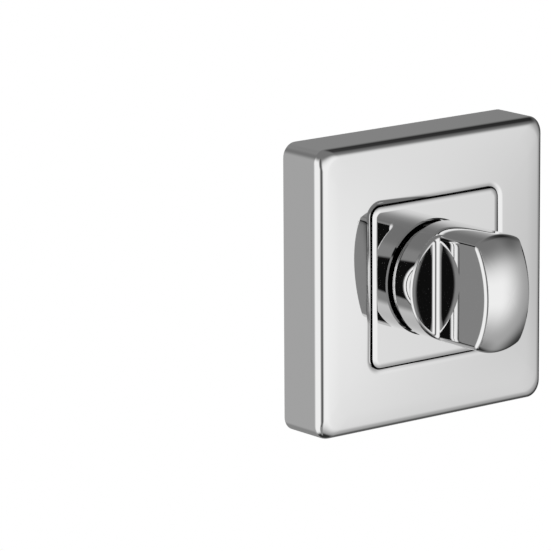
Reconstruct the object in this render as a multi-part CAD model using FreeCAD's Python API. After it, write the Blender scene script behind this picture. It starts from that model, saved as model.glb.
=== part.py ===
import FreeCAD, Part
import math
import os

# Thumb turn on a square rose, for the inside of a bathroom door. Millimetres.
# +Z is up and -Y is out of the door towards the user. The origin is on the turn's axis, in the
# plane of the door's face. A value whose name ends in _h is a distance out from the door's face.

# rose cover, a square shell with an open back
rose_size = 52.0
rose_depth = 10.2
rose_wall = 1.4
rose_edge_r = 1.7            # front edges
rose_corner_more = 0.8       # the upright corners are this much rounder than the front edges
opening_corner_r = 2.2
opening_lip_width = 1.1      # the face slopes down to the opening over this width
opening_lip_drop = 0.35

# collar plate, the square that shows in the cover's opening and carries the turn
collar_size = 29.0
collar_gap = 0.35            # all round, between the collar plate and the cover's opening
collar_proud = 0.6           # how far the collar plate stands out of the cover
collar_edge_width = 0.9      # its face slopes down to its edge over this width
collar_edge_drop = 0.3
collar_bore_chamfer = 0.3

# base plate, screwed to the door behind the cover
base_thick = 4.5
base_gap = 0.25              # all round, between the base plate and the inside of the cover
base_web = 1.3               # metal left in front of the recess for the washers
base_bore_d = 13.5
recess_d = 21.0
fixing_spacing = 38.0        # the two bolts that go through the door and the lock
fixing_hole_d = 4.3
wood_screw_spacing = 37.0    # square of four wood screws
wood_screw_hole_d = 3.6

# bowed strips that hold the cover on the base plate, one at the top and one at the bottom
strip_span = 13.0
strip_thick = 0.4
strip_width = 2.0
strip_bite = 0.3             # how far the crown of a strip reaches into the cover's wall
strip_gap = 0.1
strip_groove_length = 9.0    # groove in the cover's wall that the crown of a strip springs into
pocket_depth = 1.8

# cheese-head screws that hold the collar plate, put in from behind
screw_spacing = 22.0
screw_d = 2.5
screw_head_d = 4.7
screw_head_depth = 1.3
screw_length = 8.0
screw_back_gap = 0.1         # the heads lie this far below the back of the base plate
screw_gap = 0.1
screw_tip_gap = 0.4
screw_slot_width = 0.8
screw_slot_depth = 0.7

# bush between the collar plate and the shank of the turn
bush_wall = 1.45
bush_flange_thick = 0.7
bush_gap = 0.02              # between the bush and the collar plate
running_gap = 0.05           # between the shank and the bush

# thumb turn: a round knob with two flats, its neck and its shank in one piece
turn_d = 21.2
turn_lift = 1.1              # gap that shows between the collar plate and the knob
turn_root_length = 4.9       # round part, up to the shoulders
turn_paddle_length = 14.2    # flat part, from the shoulders to the crown of the end
turn_paddle_thick = 10.2
turn_end_r = 17.6            # ball radius of the end
turn_edge_ease = 0.35        # round the flats, the end and the shoulders
turn_inner_r = 1.0           # inner corner between a shoulder and its flat
turn_root_chamfer = 0.4
neck_d = 17.0
neck_gap = 0.3               # all round, between the neck and the collar plate
neck_sink = 1.6              # how far the neck goes into the collar plate
thrust_gap = 0.1             # end play between the neck and the bush
shank_d = 12.0
shank_land = 0.6             # shank behind the retaining ring

# washers and retaining ring on the shank, in the recess of the base plate
stack_gap = 0.04
washer_bore_gap = 0.15
washer_d = 18.0
washer_thick = 0.5
spring_washer_d = 17.0
spring_washer_thick = 0.35
spring_washer_rise = 0.4
ring_thick = 1.0
ring_d = 16.0
ring_offset = 0.5            # the ring is thinner at its mouth
ring_groove_depth = 0.35
ring_groove_gap = 0.05
ring_mouth = 3.0
ring_ear_d = 3.2
ring_eye_d = 1.4

# square spindle pinned in the shank, with a free end for the lock's follower
spindle_size = 6.0
spindle_reach = 25.0         # free length behind the door's face
spindle_depth = 14.5         # how far in front of the door's face it starts
spindle_gap = 0.05
spindle_chamfer = 0.6
pin_d = 2.0
pin_h = 6.6
pin_gap = 0.03
pin_end_gap = 0.25           # the pin's ends lie this far below the shank's surface

# places that follow from the sizes above
inside_size = rose_size - 2 * rose_wall
rose_corner_r = rose_edge_r + rose_corner_more
inside_corner_r = max(rose_corner_r - rose_wall, rose_wall / 2)
opening_size = collar_size + 2 * collar_gap
base_size = inside_size - 2 * base_gap
collar_face_h = rose_depth + collar_proud
root_h = collar_face_h + turn_lift
shoulder_h = root_h + turn_root_length
crown_h = shoulder_h + turn_paddle_length
neck_end_h = collar_face_h - neck_sink
flange_h = neck_end_h - thrust_gap
bush_seat_h = flange_h - bush_flange_thick
bush_bore_d = shank_d + 2 * running_gap
bush_d = bush_bore_d + 2 * bush_wall
flange_d = neck_d
neck_bore_d = neck_d + 2 * neck_gap
recess_h = base_thick - base_web
washer_h = recess_h - stack_gap - washer_thick
spring_washer_h = washer_h - stack_gap - spring_washer_thick - spring_washer_rise
ring_h = spring_washer_h - stack_gap - ring_thick
shank_end_h = ring_h - ring_groove_gap - shank_land
washer_bore_d = shank_d + 2 * washer_bore_gap
groove_d = shank_d - 2 * ring_groove_depth
screw_tip_h = screw_back_gap + screw_length
strip_h = recess_h / 2 - strip_width / 2
strip_crown = inside_size / 2 + strip_bite
pocket_floor = base_size / 2 - pocket_depth
past = 1.0                   # how far a cutting shape runs past the face that it cuts
touch = 0.01                 # how near an edge has to be to the place where it is looked for


def point(x, h, z):
    return FreeCAD.Vector(x, -h, z)


def disc(d, from_h, to_h, x=0.0, z=0.0):
    return Part.makeCylinder(d / 2, to_h - from_h, point(x, from_h, z), FreeCAD.Vector(0, -1, 0))


def cone(from_d, to_d, from_h, to_h, x=0.0, z=0.0):
    place = point(x, from_h, z)
    return Part.makeCone(from_d / 2, to_d / 2, to_h - from_h, place, FreeCAD.Vector(0, -1, 0))


def block(width, height, from_h, to_h, x=0.0, z=0.0):
    corner = point(x - width / 2, to_h, z - height / 2)
    return Part.makeBox(width, to_h - from_h, height, corner)


def runs_out(edge):
    return edge.BoundBox.YLength > touch


def lies_at(shape, h):
    return all(abs(v.Point.y + h) < touch for v in shape.Vertexes)


def runs_up(edge):
    box = edge.BoundBox
    return box.XLength < touch and box.YLength < touch


def square(size, corner_r, from_h, to_h):
    shape = block(size, size, from_h, to_h)
    return shape.makeFillet(corner_r, [e for e in shape.Edges if runs_out(e)])


def square_outline(size, corner_r, h):
    ends = [f for f in square(size, corner_r, h, h + past).Faces if lies_at(f, h)]
    return ends[0].OuterWire


def sloped_square(from_size, corner_r, from_h, to_size, to_h):
    # a square block whose four sides slope evenly from one size to another
    to_r = corner_r + (to_size - from_size) / 2
    outlines = [square_outline(from_size, corner_r, from_h), square_outline(to_size, to_r, to_h)]
    return Part.makeLoft(outlines, True, True)


def turned(outline):
    # a solid of revolution round the turn's axis, from (radius, h) points joined by straight lines
    points = [point(r, h, 0) for r, h in outline]
    face = Part.Face(Part.makePolygon(points + points[:1]))
    return face.revolve(FreeCAD.Vector(0, 0, 0), FreeCAD.Vector(0, 1, 0), 360)


def four_corners(spacing):
    half = spacing / 2
    return [(x, z) for x in (-half, half) for z in (-half, half)]


def base_hole(d, x, z):
    return disc(d, -past, base_thick + past, x, z)


def strip_space(length, depth, z):
    # room for a strip, cut in a wall above or below the axis
    return block(length, depth, strip_h - strip_gap, strip_h + strip_width + strip_gap, 0, z)


def make_rose_cover():
    shell = square(rose_size, rose_corner_r, 0, rose_depth)
    shell = shell.makeFillet(rose_edge_r, [e for e in shell.Edges if lies_at(e, rose_depth)])
    shell = shell.cut(square(inside_size, inside_corner_r, -past, rose_depth - rose_wall))
    shell = shell.cut(square(opening_size, opening_corner_r, 0, rose_depth + past))
    # the lip's slope runs on past the face
    lip_size = opening_size + 4 * opening_lip_width
    shell = shell.cut(sloped_square(opening_size, opening_corner_r, rose_depth - opening_lip_drop,
                                    lip_size, rose_depth + opening_lip_drop))
    depth = strip_bite + strip_gap
    for side in (-1, 1):
        z = side * (inside_size + depth - past) / 2
        shell = shell.cut(strip_space(strip_groove_length, depth + past, z))
    return shell


def make_base_plate():
    plate = square(base_size, max(inside_corner_r - base_gap, base_gap), 0, base_thick)
    plate = plate.cut(disc(base_bore_d, -past, base_thick + past))
    plate = plate.cut(disc(recess_d, -past, recess_h))
    for side in (-1, 1):
        plate = plate.cut(base_hole(fixing_hole_d, side * fixing_spacing / 2, 0))
        pocket_z = side * (pocket_floor + (pocket_depth + past) / 2)
        plate = plate.cut(strip_space(strip_span + 2 * strip_gap, pocket_depth + past, pocket_z))
    for x, z in four_corners(wood_screw_spacing):
        plate = plate.cut(base_hole(wood_screw_hole_d, x, z))
    for x, z in four_corners(screw_spacing):
        plate = plate.cut(base_hole(screw_d + 2 * screw_gap, x, z))
        head_end_h = screw_back_gap + screw_head_depth
        plate = plate.cut(disc(screw_head_d + 2 * screw_gap, -past, head_end_h, x, z))
    return plate


def make_collar_plate():
    corner_r = max(opening_corner_r - collar_gap, collar_edge_width + collar_gap)
    edge_h = collar_face_h - collar_edge_drop
    plate = square(collar_size, corner_r, base_thick, edge_h)
    face_size = collar_size - 2 * collar_edge_width
    plate = plate.fuse(sloped_square(collar_size, corner_r, edge_h, face_size, collar_face_h))
    plate = plate.cut(disc(bush_d + 2 * bush_gap, base_thick - past, collar_face_h))
    plate = plate.cut(disc(neck_bore_d, bush_seat_h, collar_face_h + past))
    # the bore's chamfer runs on past the face
    wide_d = neck_bore_d + 4 * collar_bore_chamfer
    plate = plate.cut(cone(neck_bore_d, wide_d, collar_face_h - collar_bore_chamfer,
                           collar_face_h + collar_bore_chamfer)).removeSplitter()
    for x, z in four_corners(screw_spacing):
        plate = plate.cut(disc(screw_d, base_thick - past, screw_tip_h + screw_tip_gap, x, z))
    return plate


def make_collar_screws():
    screws = []
    for x, z in four_corners(screw_spacing):
        screw = disc(screw_head_d, screw_back_gap, screw_back_gap + screw_head_depth, x, z)
        screw = screw.fuse(disc(screw_d, screw_back_gap, screw_tip_h, x, z)).removeSplitter()
        slot_end_h = screw_back_gap + screw_slot_depth
        screws.append(screw.cut(block(screw_head_d + past, screw_slot_width, 0, slot_end_h, x, z)))
    return Part.makeCompound(screws)


def make_cover_strips():
    # each strip is an arc whose ends stand on the floor of its pocket
    strips = []
    half = strip_span / 2
    for side in (-1, 1):
        inner = [(-half, pocket_floor), (0, strip_crown - strip_thick), (half, pocket_floor)]
        outer = [(half, pocket_floor + strip_thick), (0, strip_crown), (-half, pocket_floor + strip_thick)]
        arcs = []
        for curve in (inner, outer):
            arcs.append([point(x, strip_h, side * z) for x, z in curve])
        edges = [Part.Arc(*arcs[0]).toShape(), Part.makeLine(arcs[0][2], arcs[1][0]),
                 Part.Arc(*arcs[1]).toShape(), Part.makeLine(arcs[1][2], arcs[0][0])]
        face = Part.Face(Part.Wire(edges))
        strips.append(face.extrude(FreeCAD.Vector(0, -strip_width, 0)))
    return Part.makeCompound(strips)


def make_neck_bush():
    bush = disc(bush_d, base_thick, bush_seat_h)
    bush = bush.fuse(disc(flange_d, bush_seat_h, flange_h)).removeSplitter()
    return bush.cut(disc(bush_bore_d, base_thick - past, flange_h + past))


def make_thumb_turn():
    # knob, turned with a ball end
    radius = turn_d / 2
    rim_h = root_h + turn_root_chamfer
    ball = Part.makeSphere(turn_end_r, point(0, crown_h - turn_end_r, 0))
    knob = disc(turn_d, rim_h, crown_h + past).common(ball.fuse(disc(turn_d, rim_h, shoulder_h)))
    # two flats that leave the paddle, each cut with a rounded inner corner
    for side in (-1, 1):
        x = side * (turn_paddle_thick / 2 + radius / 2)
        cutter = block(radius, turn_d + past, shoulder_h, crown_h + past, x, 0)
        inner = [e for e in cutter.Edges if runs_up(e) and lies_at(e, shoulder_h) and is_on_flat(e)]
        knob = knob.cut(cutter.makeFillet(turn_inner_r, inner))
    knob = knob.removeSplitter()
    sharp = [e for e in knob.Edges if not runs_up(e) and not lies_at(e, rim_h)]
    knob = knob.makeChamfer(turn_edge_ease, sharp)
    knob = knob.fuse(cone(turn_d - 2 * turn_root_chamfer, turn_d, root_h, rim_h))
    # neck and shank behind the knob
    shank = turned([(0, root_h + past), (neck_d / 2, root_h + past), (neck_d / 2, neck_end_h),
                    (shank_d / 2, neck_end_h), (shank_d / 2, ring_h + ring_thick + ring_groove_gap),
                    (groove_d / 2, ring_h + ring_thick + ring_groove_gap),
                    (groove_d / 2, ring_h - ring_groove_gap), (shank_d / 2, ring_h - ring_groove_gap),
                    (shank_d / 2, shank_end_h), (0, shank_end_h)])
    turn = knob.fuse(shank).removeSplitter()
    socket = spindle_size + 2 * spindle_gap
    turn = turn.cut(block(socket, socket, shank_end_h - past, spindle_depth + spindle_gap))
    return turn.cut(cross_hole(pin_d + 2 * pin_gap))


def is_on_flat(edge):
    return abs(abs(edge.CenterOfMass.x) - turn_paddle_thick / 2) < touch


def cross_hole(d):
    return Part.makeCylinder(d / 2, 2 * shank_d, point(-shank_d, pin_h, 0), FreeCAD.Vector(1, 0, 0))


def make_spindle():
    bar = block(spindle_size, spindle_size, -spindle_reach, spindle_depth)
    ends = [e for e in bar.Edges if not runs_out(e)]
    bar = bar.makeChamfer(spindle_chamfer, ends)
    return bar.cut(cross_hole(pin_d + 2 * pin_gap))


def make_spindle_pin():
    length = shank_d - 2 * pin_end_gap
    return Part.makeCylinder(pin_d / 2, length, point(-length / 2, pin_h, 0), FreeCAD.Vector(1, 0, 0))


def make_thrust_washer():
    return disc(washer_d, washer_h, washer_h + washer_thick).cut(disc(washer_bore_d, 0, rose_depth))


def make_spring_washer():
    # dished, with its rim against the flat washer and its inner edge on the retaining ring
    inner, outer = washer_bore_d / 2, spring_washer_d / 2
    low_h = spring_washer_h
    high_h = low_h + spring_washer_rise
    return turned([(inner, low_h), (outer, high_h), (outer, high_h + spring_washer_thick),
                   (inner, low_h + spring_washer_thick)])


def make_retaining_ring():
    top_h = ring_h + ring_thick
    ring = disc(ring_d, ring_h, top_h, 0, ring_offset)
    # an ear with an eye on each side of the mouth
    ear_x = (ring_mouth + ring_ear_d) / 2
    ear_z = -math.sqrt(((groove_d + ring_ear_d) / 2) ** 2 - ear_x ** 2)
    for side in (-1, 1):
        ring = ring.fuse(disc(ring_ear_d, ring_h, top_h, side * ear_x, ear_z))
        ring = ring.cut(disc(ring_eye_d, ring_h - past, top_h + past, side * ear_x, ear_z))
    ring = ring.cut(disc(groove_d + 2 * ring_groove_gap, ring_h - past, top_h + past))
    ring = ring.cut(block(ring_mouth, ring_d, ring_h - past, top_h + past, 0, -ring_d / 2))
    return ring.removeSplitter()


makers = {
    "rose_cover": make_rose_cover,
    "base_plate": make_base_plate,
    "collar_plate": make_collar_plate,
    "collar_screws": make_collar_screws,
    "cover_strips": make_cover_strips,
    "neck_bush": make_neck_bush,
    "thumb_turn": make_thumb_turn,
    "spindle": make_spindle,
    "spindle_pin": make_spindle_pin,
    "thrust_washer": make_thrust_washer,
    "spring_washer": make_spring_washer,
    "retaining_ring": make_retaining_ring,
}

os.makedirs("parts", exist_ok=True)
for name, make in makers.items():
    shape = make()
    shape.exportStep("parts/" + name + ".step")
    print(name, len(shape.Solids), "solids, volume", round(shape.Volume, 2), shape.isValid())
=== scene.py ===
import bmesh
import bpy
import math
from mathutils import Matrix, Vector


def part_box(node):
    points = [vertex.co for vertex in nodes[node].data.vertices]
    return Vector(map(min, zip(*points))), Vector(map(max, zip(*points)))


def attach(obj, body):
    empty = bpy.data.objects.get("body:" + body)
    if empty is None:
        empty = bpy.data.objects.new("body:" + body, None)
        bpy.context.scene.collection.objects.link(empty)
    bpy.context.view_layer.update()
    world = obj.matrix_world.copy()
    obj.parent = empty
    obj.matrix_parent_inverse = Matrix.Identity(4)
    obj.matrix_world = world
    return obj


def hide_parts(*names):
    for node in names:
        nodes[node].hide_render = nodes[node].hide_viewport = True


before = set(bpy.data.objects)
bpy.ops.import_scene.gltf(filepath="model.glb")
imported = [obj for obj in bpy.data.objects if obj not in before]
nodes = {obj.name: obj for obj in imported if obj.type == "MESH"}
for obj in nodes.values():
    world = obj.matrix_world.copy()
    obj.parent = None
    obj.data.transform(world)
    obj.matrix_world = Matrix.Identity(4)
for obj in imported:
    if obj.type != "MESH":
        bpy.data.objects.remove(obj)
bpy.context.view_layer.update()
# the pieces are given in millimetres, the stage in metres, angles in degrees
mm = 0.001
# points closer than weld become one, and a point counts as lying at a place when it is within snap of it
weld = 0.001
snap = 0.0001
upright = Matrix.Rotation(math.radians(90), 3, "X")
print("frame loaded:", len(nodes), "nodes")


# sRGB hex to the linear colour that the shaders take
def linear(hexText):
    channels = [int(hexText[i:i + 2], 16) / 255 for i in (1, 3, 5)]
    return [c / 12.92 if c <= 0.04045 else ((c + 0.055) / 1.055) ** 2.4 for c in channels] + [1]


# adds a node: settings are its own properties or its inputs' values, links are input: output
def addNode(tree, kind, settings={}, links={}):
    node = tree.nodes.new(kind)
    for name, value in settings.items():
        if isinstance(name, str) and hasattr(node, name):
            setattr(node, name, value)
        else:
            node.inputs[name].default_value = value
    for name, output in links.items():
        tree.links.new(output, node.inputs[name])
    return node


# stops of a colour ramp, as (place from 0 to 1, hex colour)
def setStops(node, stops):
    ramp = node.color_ramp
    ramp.interpolation = "LINEAR"
    while len(ramp.elements) > 1:
        ramp.elements.remove(ramp.elements[-1])
    ramp.elements[0].position = stops[0][0]
    ramp.elements[0].color = linear(stops[0][1])
    for place, hexText in stops[1:]:
        ramp.elements.new(place).color = linear(hexText)


def newMaterial(name):
    material = bpy.data.materials.new(name)
    material.use_nodes = True
    material.node_tree.nodes.clear()
    return material, material.node_tree


def meshFrom(bm, name):
    mesh = bpy.data.meshes.new(name)
    bm.to_mesh(mesh)
    bm.free()
    return mesh


def addObject(name, data):
    made = bpy.data.objects.new(name, data)
    bpy.context.scene.collection.objects.link(made)
    return made


# scale of a noise whose blots are about this many millimetres across
def perMm(size):
    return 1 / (size * mm)


# chrome plate on polished die-cast zinc: a clean neutral mirror, with the faintest haze left by the mop,
# drawn coarser than the mop's real marks
chrome = {"colour": "#F7F7F7", "clear": 0.012, "hazy": 0.03, "mopMark": 7.0, "markDetail": 3.0,
          "hazeGrain": 0.5, "grainDetail": 2.0, "clearBelow": 0.12, "hazyAbove": 0.4}


def polishedChrome():
    material, tree = newMaterial("polished_chrome_plate")
    place = addNode(tree, "ShaderNodeTexCoord")
    marks = addNode(tree, "ShaderNodeTexNoise",
                    {"Scale": perMm(chrome["mopMark"]), "Detail": chrome["markDetail"]},
                    {"Vector": place.outputs["Object"]})
    grain = addNode(tree, "ShaderNodeTexNoise",
                    {"Scale": perMm(chrome["hazeGrain"]), "Detail": chrome["grainDetail"]},
                    {"Vector": place.outputs["Object"]})
    both = addNode(tree, "ShaderNodeMath", {"operation": "MULTIPLY"},
                   {0: marks.outputs["Fac"], 1: grain.outputs["Fac"]})
    haze = addNode(tree, "ShaderNodeMapRange",
                   {"From Min": chrome["clearBelow"], "From Max": chrome["hazyAbove"],
                    "To Min": chrome["clear"], "To Max": chrome["hazy"]},
                   {"Value": both.outputs[0]})
    shader = addNode(tree, "ShaderNodeBsdfPrincipled",
                     {"Base Color": linear(chrome["colour"]), "Metallic": 1.0},
                     {"Roughness": haze.outputs["Result"]})
    addNode(tree, "ShaderNodeOutputMaterial", {}, {"Surface": shader.outputs[0]})
    return material


# metals and plastic behind the cover: name, two tones, metallic, roughness range, size of the blots in mm
hiddenFinishes = {
    # dull grey casting skin, softly clouded
    "cast_zinc": ("die_cast_zinc_as_cast", "#C4C6C8", "#AEB0B3", 1.0, 0.42, 0.6, 1.6),
    # cool, fairly bright plating with a slight spangle
    "plated_steel": ("zinc_plated_steel", "#C9CBCB", "#B3B6B9", 1.0, 0.22, 0.36, 0.9),
    # smooth strip with a soft sheen, a little warmer than the plating
    "spring_steel": ("bright_rolled_spring_steel", "#B5B6B6", "#9A9A98", 1.0, 0.2, 0.32, 0.7),
    # near-black crystalline coat with hardly any shine
    "dark_steel": ("phosphated_steel", "#3A3B3C", "#2A2A2B", 1.0, 0.45, 0.62, 0.5),
    # creamy white with a waxy sheen
    "nylon": ("moulded_nylon", "#E9E5D8", "#DEDACB", 0.0, 0.38, 0.5, 1.2),
}
clouding = {"detail": 4.0, "darkAt": 0.35, "lightAt": 0.65, "smoothAt": 0.3, "roughAt": 0.7,
            "bump": 0.12, "bumpHeight": 0.05}


def hiddenFinish(name, light, dark, metallic, smooth, rough, blot):
    material, tree = newMaterial(name)
    place = addNode(tree, "ShaderNodeTexCoord")
    blots = addNode(tree, "ShaderNodeTexNoise", {"Scale": perMm(blot), "Detail": clouding["detail"]},
                    {"Vector": place.outputs["Object"]})
    tones = addNode(tree, "ShaderNodeValToRGB", {}, {"Fac": blots.outputs["Fac"]})
    setStops(tones, [(clouding["darkAt"], dark), (clouding["lightAt"], light)])
    dull = addNode(tree, "ShaderNodeMapRange",
                   {"From Min": clouding["smoothAt"], "From Max": clouding["roughAt"],
                    "To Min": smooth, "To Max": rough},
                   {"Value": blots.outputs["Fac"]})
    bump = addNode(tree, "ShaderNodeBump",
                   {"Strength": clouding["bump"], "Distance": clouding["bumpHeight"] * mm},
                   {"Height": blots.outputs["Fac"]})
    shader = addNode(tree, "ShaderNodeBsdfPrincipled", {"Metallic": metallic},
                     {"Base Color": tones.outputs["Color"], "Roughness": dull.outputs["Result"],
                      "Normal": bump.outputs["Normal"]})
    addNode(tree, "ShaderNodeOutputMaterial", {}, {"Surface": shader.outputs[0]})
    return material


chromePlate = polishedChrome()
finishes = {slot: hiddenFinish(*values) for slot, values in hiddenFinishes.items()}
finishes["polished_chrome"] = chromePlate
for node in nodes.values():
    for i, plain in enumerate(node.data.materials):
        node.data.materials[i] = finishes[plain.name.split(".")[0]]
print("materials made:", len(finishes))


# how far a node's front and back stand out from the door, as its CAD box gives it
def frontOf(node):
    return -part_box(node)[0].y / mm


def backOf(node):
    return -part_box(node)[1].y / mm


def widthOf(node):
    low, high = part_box(node)
    return (high.x - low.x) / mm


# pieces are modelled in millimetres and written in metres
def writePiece(bm, name, node, body, crease):
    bmesh.ops.remove_doubles(bm, verts=bm.verts, dist=weld)
    bmesh.ops.recalc_face_normals(bm, faces=bm.faces)
    bmesh.ops.scale(bm, vec=(mm, mm, mm), verts=bm.verts)
    mesh = meshFrom(bm, name)
    mesh.materials.append(chromePlate)
    mesh.shade_smooth()
    mesh.set_sharp_from_angle(angle=math.radians(crease))
    piece = addObject(name, mesh)
    shading = piece.modifiers.new("flatFacesStayFlat", "WEIGHTED_NORMAL")
    shading.keep_sharp = True
    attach(piece, body)
    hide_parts(node)
    print(name, "has", len(mesh.polygons), "faces")


# a rounded square in the drawing plane, turned to face the user, as a loop of edges
def squareLoop(bm, size, cornerR, depth, cornerSteps, sideCuts):
    corners = bmesh.ops.create_grid(bm, x_segments=1, y_segments=1, size=size / 2)["verts"]
    bmesh.ops.bevel(bm, geom=corners, offset=cornerR, offset_type="OFFSET", segments=cornerSteps,
                    profile=0.5, affect="VERTICES", material=-1)
    bmesh.ops.delete(bm, geom=bm.faces[:], context="FACES_ONLY")
    sides = sorted(bm.edges, key=lambda e: e.calc_length())[-4:]
    bmesh.ops.subdivide_edges(bm, edges=sides, cuts=sideCuts)
    bmesh.ops.rotate(bm, verts=bm.verts, matrix=upright)
    bmesh.ops.translate(bm, verts=bm.verts, vec=(0, -depth, 0))
    return bm.edges[:]


# extrudes edges on the spot and gives the new points and edges, ready to be moved
def pull(bm, edges):
    grown = bmesh.ops.extrude_edge_only(bm, edges=edges)["geom"]
    return ([v for v in grown if isinstance(v, bmesh.types.BMVert)],
            [e for e in grown if isinstance(e, bmesh.types.BMEdge)])


# the far side of what was pulled: the edges that have a new point at both ends
def farSide(fresh, grown):
    return [e for e in grown if all(v in fresh for v in e.verts)]


# moves a rounded square's points to another size, corner radius and depth
def toSquare(verts, before, after):
    (size, cornerR), (newSize, newR, depth) = before, after
    core, newCore = size / 2 - cornerR, newSize / 2 - newR
    for v in verts:
        x, z = max(min(v.co.x, core), -core), max(min(v.co.z, core), -core)
        v.co = (x * newCore / core + (v.co.x - x) * newR / cornerR, -depth,
                z * newCore / core + (v.co.z - z) * newR / cornerR)


def toRound(verts, diameter, depth):
    for v in verts:
        spread = diameter / 2 / math.hypot(v.co.x, v.co.z)
        v.co = (v.co.x * spread, -depth, v.co.z * spread)


# an edge that rolls off over a width and a drop: (distance from where it starts, drop)
def rollOff(width, drop, steps):
    radius = (width ** 2 + drop ** 2) / (2 * drop)
    last = math.asin(width / radius)
    bends = [last * i / steps for i in range(steps + 1)]
    return [(radius * math.sin(b), radius * (1 - math.cos(b))) for b in bends]


# square cover: pressed shell, soft edges that run out slowly into a slightly crowned face
cover = {"edgeR": 1.8, "cornerR": 2.6, "cornerGrow": 0.3, "wall": 1.4, "openingCornerR": 2.2,
         "openingGap": 0.35, "lipWidth": 1.0, "lipDrop": 0.24, "crown": 0.6, "borderRise": 0.05,
         "tailWidth": 2.6, "tailDrop": 0.05, "cornerSteps": 9, "sideCuts": 15, "edgeSteps": 12,
         "tailSteps": 5, "faceRows": 7, "lipSteps": 8, "crease": 40}


def buildCover():
    bm = bmesh.new()
    size = widthOf("rose_cover")
    opening = widthOf("collar_plate") + 2 * cover["openingGap"]
    back = frontOf("rose_cover") - cover["wall"]
    border = frontOf("rose_cover") + cover["borderRise"]
    inside, insideR = size - 2 * cover["wall"], cover["cornerR"] - cover["wall"]
    sections = [(inside, insideR, back), (inside, insideR, 0), (size, cover["cornerR"], 0)]
    # front edge: most of a quarter round, then its slow tail
    bend = math.pi / 2 - 2 * math.atan(cover["tailDrop"] / cover["tailWidth"])
    top = cover["edgeR"] * math.sin(bend) + cover["tailDrop"]
    for i in range(cover["edgeSteps"] + 1):
        lean = bend * i / cover["edgeSteps"]
        inset = cover["edgeR"] * (1 - math.cos(lean))
        cornerR = cover["cornerR"] + cover["cornerGrow"] * lean / bend
        sections.append((size - 2 * inset, cornerR, border - top + cover["edgeR"] * math.sin(lean)))
    # face, from the edge to the lip of the opening, its corners opening out on the way
    lipSize, lipR = opening + 2 * cover["lipWidth"], cover["openingCornerR"] + cover["lipWidth"]
    edgeSize, edgeR = sections[-1][:2]
    tail = rollOff(cover["tailWidth"], cover["tailDrop"], cover["tailSteps"])
    rows = [(edgeSize - 2 * (cover["tailWidth"] - out), border - drop) for out, drop in reversed(tail)][1:]
    flatSize = rows[-1][0]
    for i in range(1, cover["faceRows"]):
        rows.append((flatSize + (lipSize - flatSize) * i / cover["faceRows"], border))
    for rowSize, depth in rows:
        part = (edgeSize - rowSize) / (edgeSize - lipSize)
        sections.append((rowSize, edgeR + (lipR - edgeR) * part, depth))
    for out, drop in rollOff(cover["lipWidth"], cover["lipDrop"], cover["lipSteps"]):
        sections.append((lipSize - 2 * out, lipR - out, border - drop))
    sections.append((opening, cover["openingCornerR"], back))
    loop = squareLoop(bm, *sections[0], cover["cornerSteps"], cover["sideCuts"])
    for before, after in zip(sections, sections[1:] + sections[:1]):
        fresh, loop = pull(bm, loop)
        toSquare(fresh, before[:2], after)
    bmesh.ops.remove_doubles(bm, verts=bm.verts, dist=weld)
    # crown of the face
    half = size / 2 - cover["edgeR"]
    for v in bm.verts:
        if -v.co.y > border - cover["edgeR"] / 2:
            across, up = min(abs(v.co.x) / half, 1), min(abs(v.co.z) / half, 1)
            v.co.y -= cover["crown"] * (1 - across ** 2) * (1 - up ** 2)
    writePiece(bm, "cover_shell", "rose_cover", "rose", cover["crease"])


buildCover()

# collar plate: flat face, edges rolled off by polishing, round bore for the neck with a wide mouth
collar = {"cornerR": 1.85, "edgeWidth": 1.0, "edgeDrop": 0.24, "neckBore": 17.6, "mouth": 18.9,
          "mouthDepth": 0.5, "boreChamfer": 0.12, "boreDepth": 2.4, "bushBore": 14.99, "cornerSteps": 9,
          "sideCuts": 10, "edgeSteps": 8, "crease": 30}


def buildCollar():
    bm = bmesh.new()
    size, depth, back = widthOf("collar_plate"), frontOf("collar_plate"), backOf("collar_plate")
    sections = [(size, collar["cornerR"], back)]
    faceSize, faceR = size - 2 * collar["edgeWidth"], collar["cornerR"] - collar["edgeWidth"]
    for out, drop in reversed(rollOff(collar["edgeWidth"], collar["edgeDrop"], collar["edgeSteps"])):
        sections.append((faceSize + 2 * out, faceR + out, depth - drop))
    loop = backLoop = squareLoop(bm, *sections[0], collar["cornerSteps"], collar["sideCuts"])
    for before, after in zip(sections, sections[1:]):
        fresh, loop = pull(bm, loop)
        toSquare(fresh, before[:2], after)
    seat = depth - collar["boreDepth"]
    bores = ((collar["mouth"] + 2 * collar["boreChamfer"], depth),
             (collar["mouth"], depth - collar["boreChamfer"]),
             (collar["neckBore"], depth - collar["mouthDepth"]), (collar["neckBore"], seat),
             (collar["bushBore"], seat), (collar["bushBore"], back))
    for diameter, place in bores:
        fresh, loop = pull(bm, loop)
        toRound(fresh, diameter, place)
    bmesh.ops.bridge_loops(bm, edges=loop + backLoop)
    writePiece(bm, "collar_face", "collar_plate", "rose", collar["crease"])


buildCollar()

# thumb turn: round root, two milled flats with a rounded inner corner, ball end, all edges eased
turn = {"lift": 1.1, "rootLength": 4.9, "thick": 10.2, "endR": 17.6, "edgeR": 0.65, "innerR": 1.0,
        "rootChamfer": 0.25, "neckD": 17.0, "neckCove": 0.9, "neckSink": 1.6, "shankD": 12.0,
        "socket": 6.1, "socketEnd": 14.55, "shoulderRoll": 2.0, "shoulderDrop": 0.05, "shoulderSteps": 14,
        "shoulderCuts": 9, "innerSteps": 7, "endSteps": 8, "ballRows": 12, "edgeSteps": 6, "coveSteps": 6,
        "sharpFrom": 35, "crease": 35}


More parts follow.
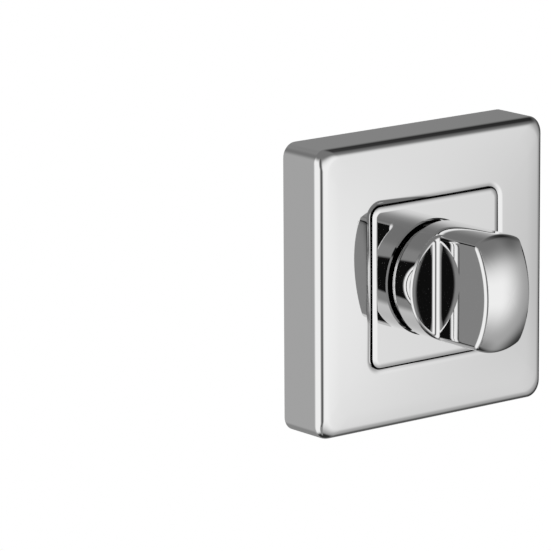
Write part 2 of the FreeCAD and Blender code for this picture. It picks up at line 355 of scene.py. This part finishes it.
def buildTurn():
    bm = bmesh.new()
    radius = widthOf("thumb_turn") / 2
    collarFace = frontOf("collar_plate")
    rootH = collarFace + turn["lift"]
    shoulderH = rootH + turn["rootLength"]
    flatX = turn["thick"] / 2
    innerR = turn["innerR"]
    ballH = frontOf("thumb_turn") - turn["endR"]

    def ball(x, z):
        return ballH + math.sqrt(turn["endR"] ** 2 - x * x - z * z)

    # one quarter of the rim: along the shoulder, up the inner corner, round the end of the paddle
    shoulderEnd = math.acos((flatX + innerR) / radius)
    flatEnd = math.acos(flatX / radius)
    rim = []
    for i in range(turn["shoulderSteps"]):
        angle = shoulderEnd * i / turn["shoulderSteps"]
        rim.append((radius * math.cos(angle), shoulderH))
    for i in range(turn["innerSteps"] + 1):
        bend = math.pi / 2 * i / turn["innerSteps"]
        rim.append((flatX + innerR * (1 - math.sin(bend)), shoulderH + innerR * (1 - math.cos(bend))))
    for i in range(1, turn["endSteps"] + 1):
        angle = flatEnd + (math.pi / 2 - flatEnd) * i / turn["endSteps"]
        rim.append((radius * math.cos(angle), shoulderH + innerR))
    verts = [bm.verts.new((x, -h, math.sqrt(max(radius ** 2 - x * x, 0)))) for x, h in rim]
    edges = [bm.edges.new(verts[i:i + 2]) for i in range(len(verts) - 1)]
    cut = turn["shoulderSteps"] + turn["innerSteps"]

    # wall of the root
    for v in pull(bm, edges)[0]:
        v.co.y = -(rootH + turn["rootChamfer"])
    # shoulder and inner corner, pulled in to the middle plane
    fresh, grown = pull(bm, edges[:cut])
    for v in fresh:
        v.co.z = 0
    strips = [e for v in fresh for e in v.link_edges if e not in grown]
    bmesh.ops.subdivide_edges(bm, edges=strips, cuts=turn["shoulderCuts"])
    bmesh.ops.remove_doubles(bm, verts=bm.verts, dist=weld)
    # flat and end of the paddle, pulled up to the ball
    foot = [e for e in bm.edges if all(abs(v.co.y + shoulderH + innerR) < snap and v.co.x < flatX + snap
                                       for v in e.verts)]
    fresh, grown = pull(bm, foot)
    for v in fresh:
        v.co.y = -ball(v.co.x, v.co.z)
    top = farSide(fresh, grown)
    # ball end, in rows that shrink to the crown
    for row in range(1, turn["ballRows"] + 1):
        shrink = 1 - row / turn["ballRows"]
        before = 1 - (row - 1) / turn["ballRows"]
        fresh, grown = pull(bm, top)
        bmesh.ops.scale(bm, vec=(shrink / before, 1, shrink / before), verts=fresh)
        for v in fresh:
            v.co.y = -ball(v.co.x, v.co.z)
        top = farSide(fresh, grown)
    bmesh.ops.remove_doubles(bm, verts=bm.verts, dist=weld)
    for axis in ("X", "Z"):
        bmesh.ops.mirror(bm, geom=bm.verts[:] + bm.edges[:] + bm.faces[:], axis=axis, merge_dist=weld)
    bmesh.ops.remove_doubles(bm, verts=bm.verts, dist=weld)
    bmesh.ops.recalc_face_normals(bm, faces=bm.faces)
    sharpFrom = math.radians(turn["sharpFrom"])
    sharp = [e for e in bm.edges if e.is_manifold and e.calc_face_angle(0) > sharpFrom]
    bmesh.ops.bevel(bm, geom=sharp, offset=turn["edgeR"], offset_type="OFFSET", segments=turn["edgeSteps"],
                    profile=0.5, affect="EDGES", material=-1)
    # polishing takes the shoulders down a little towards their rim
    for v in bm.verts:
        inward = radius - math.hypot(v.co.x, v.co.z)
        onShoulder = abs(v.co.y + shoulderH) < turn["edgeR"] and abs(v.co.x) > flatX
        if onShoulder and inward < turn["shoulderRoll"]:
            v.co.y += turn["shoulderDrop"] * (1 - inward / turn["shoulderRoll"]) ** 2
    # underside of the root, neck and shank
    ring = [e for e in bm.edges if e.is_boundary]
    back = backOf("thumb_turn")
    neckR, shankR = turn["neckD"] / 2, turn["shankD"] / 2
    neckEnd = collarFace - turn["neckSink"]
    profile = [(radius - turn["rootChamfer"], rootH)]
    for i in range(turn["coveSteps"] + 1):
        bend = math.pi / 2 * i / turn["coveSteps"]
        profile.append((neckR + turn["neckCove"] * (1 - math.sin(bend)),
                        rootH - turn["neckCove"] * (1 - math.cos(bend))))
    profile += [(neckR, neckEnd), (shankR, neckEnd), (shankR, back)]
    before = radius
    for r, h in profile:
        fresh, grown = pull(bm, ring)
        bmesh.ops.scale(bm, vec=(r / before, 1, r / before), verts=fresh)
        for v in fresh:
            v.co.y = -h
        ring = farSide(fresh, grown)
        before = r
    # square socket for the spindle
    corners = bmesh.ops.create_grid(bm, x_segments=1, y_segments=1, size=turn["socket"] / 2)["verts"]
    mouthFace = corners[0].link_faces[0]
    mouth = list(mouthFace.edges)
    bmesh.ops.rotate(bm, verts=corners, matrix=upright)
    bmesh.ops.translate(bm, verts=corners, vec=(0, -back, 0))
    bmesh.ops.delete(bm, geom=[mouthFace], context="FACES_ONLY")
    bmesh.ops.bridge_loops(bm, edges=ring + mouth)
    fresh, grown = pull(bm, mouth)
    for v in fresh:
        v.co.y = -turn["socketEnd"]
    bmesh.ops.contextual_create(bm, geom=farSide(fresh, grown))
    writePiece(bm, "turn_knob", "thumb_turn", "turn", turn["crease"])


buildTurn()

# camera of the photograph: place found from the rose's outline, in degrees, metres and pixels
shot = {"azimuth": -39.9, "elevation": 12.66, "distance": 0.8499, "focalPixels": 4740.7, "frame": 551,
        "originAt": (397.3, 267.7), "sensor": 36.0, "clipFrom": 0.01, "clipTo": 50}


def buildCamera():
    az, el = math.radians(shot["azimuth"]), math.radians(shot["elevation"])
    back = Vector((math.sin(az) * math.cos(el), -math.cos(az) * math.cos(el), math.sin(el)))
    data = bpy.data.cameras.new("photoCamera")
    data.sensor_width = shot["sensor"]
    data.lens = shot["focalPixels"] * shot["sensor"] / shot["frame"]
    data.clip_start, data.clip_end = shot["clipFrom"], shot["clipTo"]
    middle = shot["frame"] / 2
    across = (shot["originAt"][0] - middle) / shot["focalPixels"]
    down = (shot["originAt"][1] - middle) / shot["focalPixels"]
    aim = Vector((0, 0, -1)).rotation_difference(Vector((across, -down, -1)))
    look = (-back).to_track_quat("-Z", "Y") @ aim.inverted()
    camera = addObject("photoCamera", data)
    camera.matrix_world = Matrix.Translation(back * shot["distance"]) @ look.to_matrix().to_4x4()
    bpy.context.scene.camera = camera


buildCamera()

# light tent of white cloth, lit to an even grey, with cards hung one over the other: what the chrome mirrors.
# A card is from bearing, to bearing, from height, to height and soft border in degrees, then its grey.
# these numbers were kept or rounded from a fit to the photo
tent = {"radius": 1.2, "segments": 64, "rings": 32, "cloth": "#A6A6A6", "fullTurn": 360}
tentCards = {
    "ceiling": (-180, 180, 20, 160, 20, "#757575"),
    "ground": (-180, 180, -160, -60, 20, "#2E2E2E"),
    "frontBox": (-30, 45, -35, 20, 40, "#F5F5F5"),
    "leftBox": (-125, -50, -60, 30, 30, "#F5F5F5"),
    "backWall": (100, 200, -60, 45, 20, "#878787"),
    "rightFlag": (80, 125, -60, 20, 40, "#333333"),
    "topFlag": (60, 130, 25, 65, 40, "#262626"),
    "cameraSurround": (-55, -25, -80, 40, 10, "#878787"),
    "camera": (-43, -36, -30, 40, 2, "#0F0F0F"),
}


# how far inside a card's two edges a bearing or height lies, from 0 to 1
def withinCard(tree, angle, low, high, soft):
    middle, span = math.radians((low + high) / 2), high - low
    off = addNode(tree, "ShaderNodeMath", {"operation": "SUBTRACT", 1: middle}, {0: angle})
    turned = addNode(tree, "ShaderNodeMath", {"operation": "WRAP", 1: math.pi, 2: -math.pi},
                     {0: off.outputs[0]})
    away = addNode(tree, "ShaderNodeMath", {"operation": "ABSOLUTE"}, {0: turned.outputs[0]})
    within = addNode(tree, "ShaderNodeMapRange",
                     {"interpolation_type": "SMOOTHSTEP", "From Min": math.radians((span + soft) / 2),
                      "From Max": math.radians((span - soft) / 2)}, {"Value": away.outputs[0]})
    return within.outputs["Result"]


def buildTent():
    bm = bmesh.new()
    bmesh.ops.create_uvsphere(bm, u_segments=tent["segments"], v_segments=tent["rings"],
                              radius=tent["radius"])
    mesh = meshFrom(bm, "lightTent")
    mesh.shade_smooth()
    cloth = addObject("lightTent", mesh)
    material, tree = newMaterial("white_tent_cloth")
    place = addNode(tree, "ShaderNodeTexCoord")
    outward = addNode(tree, "ShaderNodeVectorMath", {"operation": "NORMALIZE"}, {0: place.outputs["Object"]})
    parts = addNode(tree, "ShaderNodeSeparateXYZ", {}, {0: outward.outputs[0]})
    ahead = addNode(tree, "ShaderNodeMath", {"operation": "MULTIPLY", 1: -1.0}, {0: parts.outputs["Y"]})
    bearing = addNode(tree, "ShaderNodeMath", {"operation": "ARCTAN2"},
                      {0: parts.outputs["X"], 1: ahead.outputs[0]})
    height = addNode(tree, "ShaderNodeMath", {"operation": "ARCSINE"}, {0: parts.outputs["Z"]})
    plain = addNode(tree, "ShaderNodeRGB")
    plain.outputs[0].default_value = linear(tent["cloth"])
    shade = plain.outputs[0]
    for left, right, low, high, soft, grey in tentCards.values():
        covers = withinCard(tree, height.outputs[0], low, high, soft)
        if right - left < tent["fullTurn"]:
            side = withinCard(tree, bearing.outputs[0], left, right, soft)
            both = addNode(tree, "ShaderNodeMath", {"operation": "MULTIPLY"}, {0: side, 1: covers})
            covers = both.outputs[0]
        # a mix node's colours are inputs 6 and 7 and output 2
        hung = addNode(tree, "ShaderNodeMix", {"data_type": "RGBA", 7: linear(grey)}, {0: covers, 6: shade})
        shade = hung.outputs[2]
    glow = addNode(tree, "ShaderNodeEmission", {"Strength": 1.0}, {"Color": shade})
    addNode(tree, "ShaderNodeOutputMaterial", {}, {"Surface": glow.outputs[0]})
    material.cycles.emission_sampling = "NONE"
    mesh.materials.append(material)
    cloth.visible_camera = False
    cloth.visible_diffuse = False
    cloth.visible_transmission = False
    cloth.visible_volume_scatter = False
    cloth.visible_shadow = False


buildTent()

# floor of matt white paper well below the part: pale, without shine, fading out into the white background
ground = {"drop": 0.3, "radius": 0.9, "segments": 96, "colour": "#FAFAFA", "fadeFrom": 0.35, "fadeTo": 0.85}


def buildFloor():
    bm = bmesh.new()
    bmesh.ops.create_circle(bm, cap_ends=True, segments=ground["segments"], radius=ground["radius"])
    bmesh.ops.translate(bm, verts=bm.verts, vec=(0, 0, -ground["drop"]))
    mesh = meshFrom(bm, "paleFloor")
    floor = addObject("paleFloor", mesh)
    material, tree = newMaterial("matt_white_paper")
    place = addNode(tree, "ShaderNodeTexCoord")
    parts = addNode(tree, "ShaderNodeSeparateXYZ", {}, {0: place.outputs["Object"]})
    flat = addNode(tree, "ShaderNodeCombineXYZ", {}, {"X": parts.outputs["X"], "Y": parts.outputs["Y"]})
    away = addNode(tree, "ShaderNodeVectorMath", {"operation": "LENGTH"}, {0: flat.outputs[0]})
    fade = addNode(tree, "ShaderNodeMapRange",
                   {"interpolation_type": "SMOOTHSTEP", "From Min": ground["fadeFrom"],
                    "From Max": ground["fadeTo"]}, {"Value": away.outputs["Value"]})
    paper = addNode(tree, "ShaderNodeBsdfDiffuse", {"Color": linear(ground["colour"])})
    clear = addNode(tree, "ShaderNodeBsdfTransparent")
    mixed = addNode(tree, "ShaderNodeMixShader", {},
                    {0: fade.outputs["Result"], 1: paper.outputs[0], 2: clear.outputs[0]})
    addNode(tree, "ShaderNodeOutputMaterial", {}, {"Surface": mixed.outputs[0]})
    mesh.materials.append(material)
    floor.visible_glossy = False


buildFloor()

# white room for the camera and for reflections, and the plain level of light that falls on the part
light = {"room": "#FFFFFF", "level": 0.8, "lampSize": 0.6, "lampPower": 6.0, "lampFrom": (-0.5, -0.6, 0.9)}


def buildLight():
    world = bpy.data.worlds.new("whiteStudio")
    world.use_nodes = True
    tree = world.node_tree
    tree.nodes.clear()
    path = addNode(tree, "ShaderNodeLightPath")
    seen = addNode(tree, "ShaderNodeMath", {"operation": "MAXIMUM"},
                   {0: path.outputs["Is Camera Ray"], 1: path.outputs["Is Glossy Ray"]})
    shown = addNode(tree, "ShaderNodeMath", {"operation": "MAXIMUM"},
                    {0: seen.outputs[0], 1: path.outputs["Is Transmission Ray"]})
    level = addNode(tree, "ShaderNodeMapRange", {"To Min": light["level"], "To Max": 1.0},
                    {"Value": shown.outputs[0]})
    glow = addNode(tree, "ShaderNodeBackground", {"Color": linear(light["room"])},
                   {"Strength": level.outputs["Result"]})
    addNode(tree, "ShaderNodeOutputWorld", {}, {"Surface": glow.outputs[0]})
    bpy.context.scene.world = world
    data = bpy.data.lights.new("softLamp", "AREA")
    data.size = light["lampSize"]
    data.energy = light["lampPower"]
    lamp = addObject("softLamp", data)
    spot = Vector(light["lampFrom"])
    lamp.matrix_world = Matrix.Translation(spot) @ (-spot).to_track_quat("-Z", "Y").to_matrix().to_4x4()
    lamp.visible_glossy = False


buildLight()
bpy.context.scene.view_settings.view_transform = "Standard"
print("stage set")
